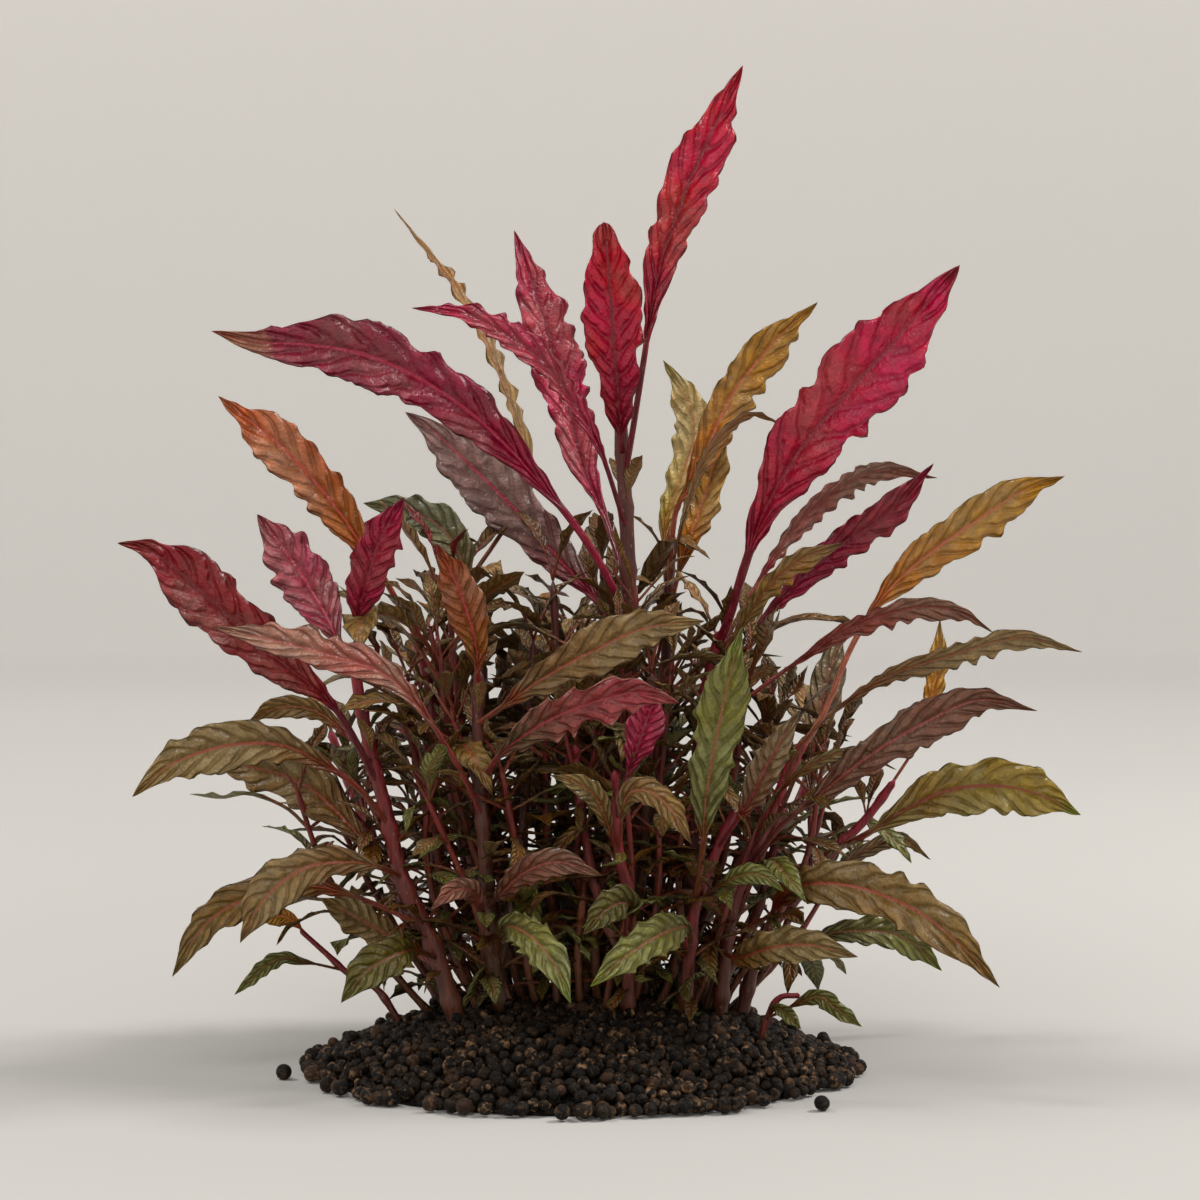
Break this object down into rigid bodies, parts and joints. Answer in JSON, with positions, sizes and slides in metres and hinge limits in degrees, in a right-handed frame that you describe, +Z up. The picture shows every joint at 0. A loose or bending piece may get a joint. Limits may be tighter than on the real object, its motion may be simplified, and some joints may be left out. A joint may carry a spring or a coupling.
{
  "type": "red-leaved aquarium stem plant in soil",
  "caption": "Bushy aquarium stem plant with long, wavy crimson, mauve, ochre and olive leaves on upright stems, growing from a low heap of dark soil pellets.",
  "frame": {"origin": "middle of the soil heap's flat underside, on the surface that it stands on", "axes": "+Z up along the stems, +X to the viewer's right with the plant's front facing -Y"},
  "size_m": [0.1869, 0.1208, 0.2018],
  "materials": {
    "bronze": "satin",
    "crimson": "satin",
    "green": "satin",
    "magenta": "satin",
    "mauve": "satin",
    "ochre": "satin",
    "olive": "satin",
    "soil": "matte",
    "stem_brown": "satin",
    "stem_red": "satin"
  },
  "bodies": {
    "root": {"leaf_arch_front": "olive", "leaf_arch_left": "olive", "leaf_broad_left": "olive", "leaf_bronze_left": "bronze", "leaf_brown_small": "mauve", "leaf_copper_left": "bronze", "leaf_crimson_left": "magenta", "leaf_crown_behind": "magenta", "leaf_crown_left": "magenta", "leaf_dark_right": "olive", "leaf_droop_right": "olive", "leaf_great_right": "crimson", "leaf_green_back": "green", "leaf_green_down_left": "green", "leaf_green_down_right": "green", "leaf_green_front": "green", "leaf_green_inner": "green", "leaf_grey": "mauve", "leaf_long_ochre": "ochre", "leaf_long_wavy": "olive", "leaf_magenta_inner": "magenta", "leaf_mauve_left": "mauve", "leaf_ochre_low": "ochre", "leaf_ochre_right": "ochre", "leaf_olive_behind": "olive", "leaf_olive_right": "olive", "leaf_olive_upright": "olive", "leaf_oval": "crimson", "leaf_pale_back": "ochre", "leaf_pink_front": "mauve", "leaf_purple_right": "mauve", "leaf_red_left": "crimson", "leaf_right_upper": "mauve", "leaf_rose_arch": "mauve", "leaf_rose_left": "mauve", "leaf_rose_right": "magenta", "leaf_rust_right": "bronze", "leaf_shaggy": "mauve", "leaf_small_ochre": "ochre", "leaf_spire": "crimson", "leaf_sweep": "magenta", "leaf_tall_copper": "bronze", "soil_heap": "soil", "stem_back_centre": "stem_brown", "stem_back_far_left": "stem_red", "stem_back_far_right": "stem_red", "stem_back_left": "stem_red", "stem_back_right": "stem_brown", "stem_centre": "stem_brown", "stem_front": "stem_red", "stem_front_right": "stem_red", "stem_left": "stem_brown", "stem_low_left": "stem_red", "stem_low_right": "stem_red", "stem_mid_left": "stem_brown", "stem_right": "stem_red", "stem_right_lean": "stem_red", "stem_right_outer": "stem_red", "stray_pellet_left": "soil", "stray_pellet_right": "soil"}
  },
  "joints": []
}
